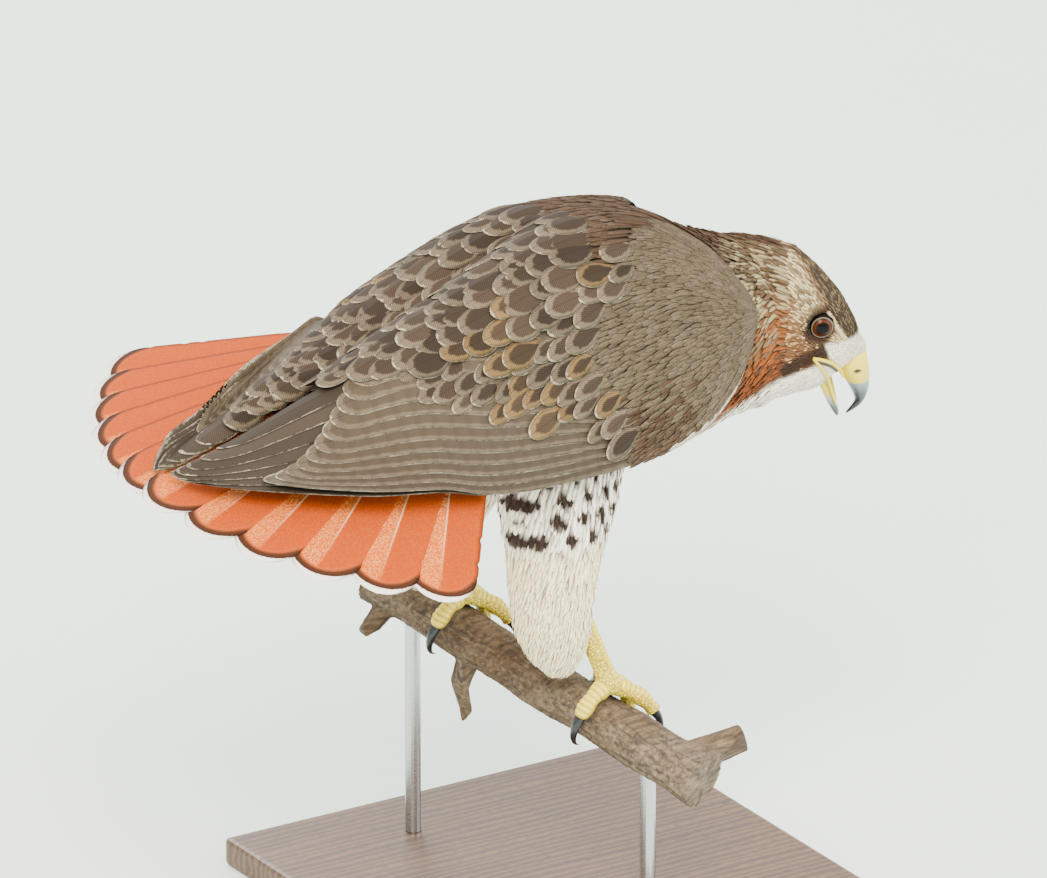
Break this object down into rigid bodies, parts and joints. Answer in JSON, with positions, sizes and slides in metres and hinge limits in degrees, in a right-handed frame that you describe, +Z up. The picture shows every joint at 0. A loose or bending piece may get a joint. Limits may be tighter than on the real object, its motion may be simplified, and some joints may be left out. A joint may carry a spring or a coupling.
{
  "type": "red-tailed hawk",
  "caption": "Life-size still model of a red-tailed hawk leaning forward from a cut branch on a flat display stand, with its tail fanned.",
  "frame": {"origin": "centre of the underside of the stand's base", "axes": "+X the way that the bird's body faces, +Y its left, +Z up"},
  "size_m": [0.4989, 0.3094, 0.4498],
  "materials": {
    "wing_feathers": "matte grey-brown feathers with pale edges",
    "breast_feathers": "matte cream and white feathers with dark marks",
    "head_feathers": "matte brown feathers with pale streaks",
    "tail_feathers": "satin rufous feathers with a dark band and pale tips",
    "bill_horn": "glossy blue-black horn, yellow at its base",
    "claw_horn": "glossy black horn",
    "leg_scales": "yellow scaled skin",
    "eye": "wet gloss",
    "bark": "weathered bark and bare wood",
    "stand_wood": "oiled walnut",
    "stand_steel": "brushed"
  },
  "bodies": {
    "root": {"torso": "breast_feathers", "neck": "head_feathers", "head": "head_feathers", "eye_right": "eye", "eye_left": "eye", "bill_upper": "bill_horn", "bill_lower": "bill_horn", "wing_right": "wing_feathers", "wing_left": "wing_feathers", "tail": "tail_feathers", "rump": "wing_feathers", "vent": "breast_feathers", "trouser_right": "breast_feathers", "trouser_left": "breast_feathers", "shank_right": "leg_scales", "shank_left": "leg_scales", "foot_right": "leg_scales", "foot_left": "leg_scales", "perch": "bark", "stand_base": "stand_wood", "stand_rod_1": "stand_steel", "stand_rod_2": "stand_steel", "claw_inner_right": "claw_horn", "claw_middle_right": "claw_horn", "claw_outer_right": "claw_horn", "claw_hind_right": "claw_horn", "claw_inner_left": "claw_horn", "claw_middle_left": "claw_horn", "claw_outer_left": "claw_horn", "claw_hind_left": "claw_horn"}
  },
  "joints": []
}
